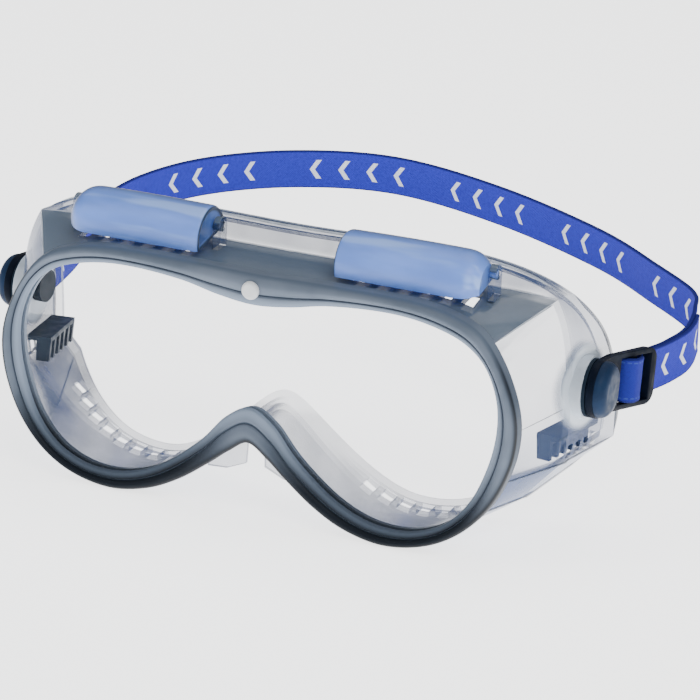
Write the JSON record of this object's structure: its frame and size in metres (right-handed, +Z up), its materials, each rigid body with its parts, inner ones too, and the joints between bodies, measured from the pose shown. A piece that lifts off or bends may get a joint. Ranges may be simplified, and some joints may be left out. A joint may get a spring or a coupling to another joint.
{
  "type": "safety goggles",
  "caption": "Safety goggles: clear lens in a smoke rim, soft clear shell with hooded brow vents and vented cheeks, and a doubled elastic headband held by clips on turning buttons.",
  "frame": {"origin": "on the surface the goggles stand on, at the middle of the footprint of goggles and headband", "axes": "+X is the wearer's left, +Y is towards the wearer's head and the back of the headband, +Z is up; the lens faces -Y"},
  "size_m": [0.2057, 0.1837, 0.0854],
  "materials": {
    "shell_clear": "soft clear",
    "rim_smoke": "semi gloss",
    "lens_clear": "polished",
    "stud_white": "satin",
    "hood_frost": "frosted",
    "vent_slate": "matte",
    "button_black": "gloss",
    "clip_navy": "gloss",
    "webbing_blue": "woven"
  },
  "bodies": {
    "goggles": {"frame_skirt": "shell_clear", "lens_rim": "rim_smoke", "lens": "lens_clear", "lens_stud": "stud_white", "stud_washer": "stud_white", "nose_flap_left": "shell_clear", "nose_flap_right": "shell_clear", "side_vent_left": "vent_slate", "side_vent_right": "vent_slate", "strap_button_left": "button_black", "strap_button_right": "button_black", "button_washer_left": "button_black", "button_washer_right": "button_black"},
    "left_hood": {"hood_left": "hood_frost"},
    "right_hood": {"hood_right": "hood_frost"},
    "headband": {"head_strap": "webbing_blue", "strap_clip_left": "clip_navy", "strap_clip_right": "clip_navy", "clip_cap_left": "clip_navy", "clip_cap_right": "clip_navy"}
  },
  "joints": [
    {"name": "headband_swing", "type": "hinge", "parent": "goggles", "child": "headband", "pos_m": [0, -0.0567, 0.0466], "axis": [1, 0, 0], "range_deg": [-75, 75]},
    {"name": "left_hood_tilt", "type": "hinge", "parent": "goggles", "child": "left_hood", "pos_m": [-0.04225, -0.0712, 0.0792], "axis": [-1, 0, 0], "range_deg": [0, 30]},
    {"name": "right_hood_tilt", "type": "hinge", "parent": "goggles", "child": "right_hood", "pos_m": [0.04225, -0.0712, 0.0792], "axis": [-1, 0, 0], "range_deg": [0, 30]}
  ]
}
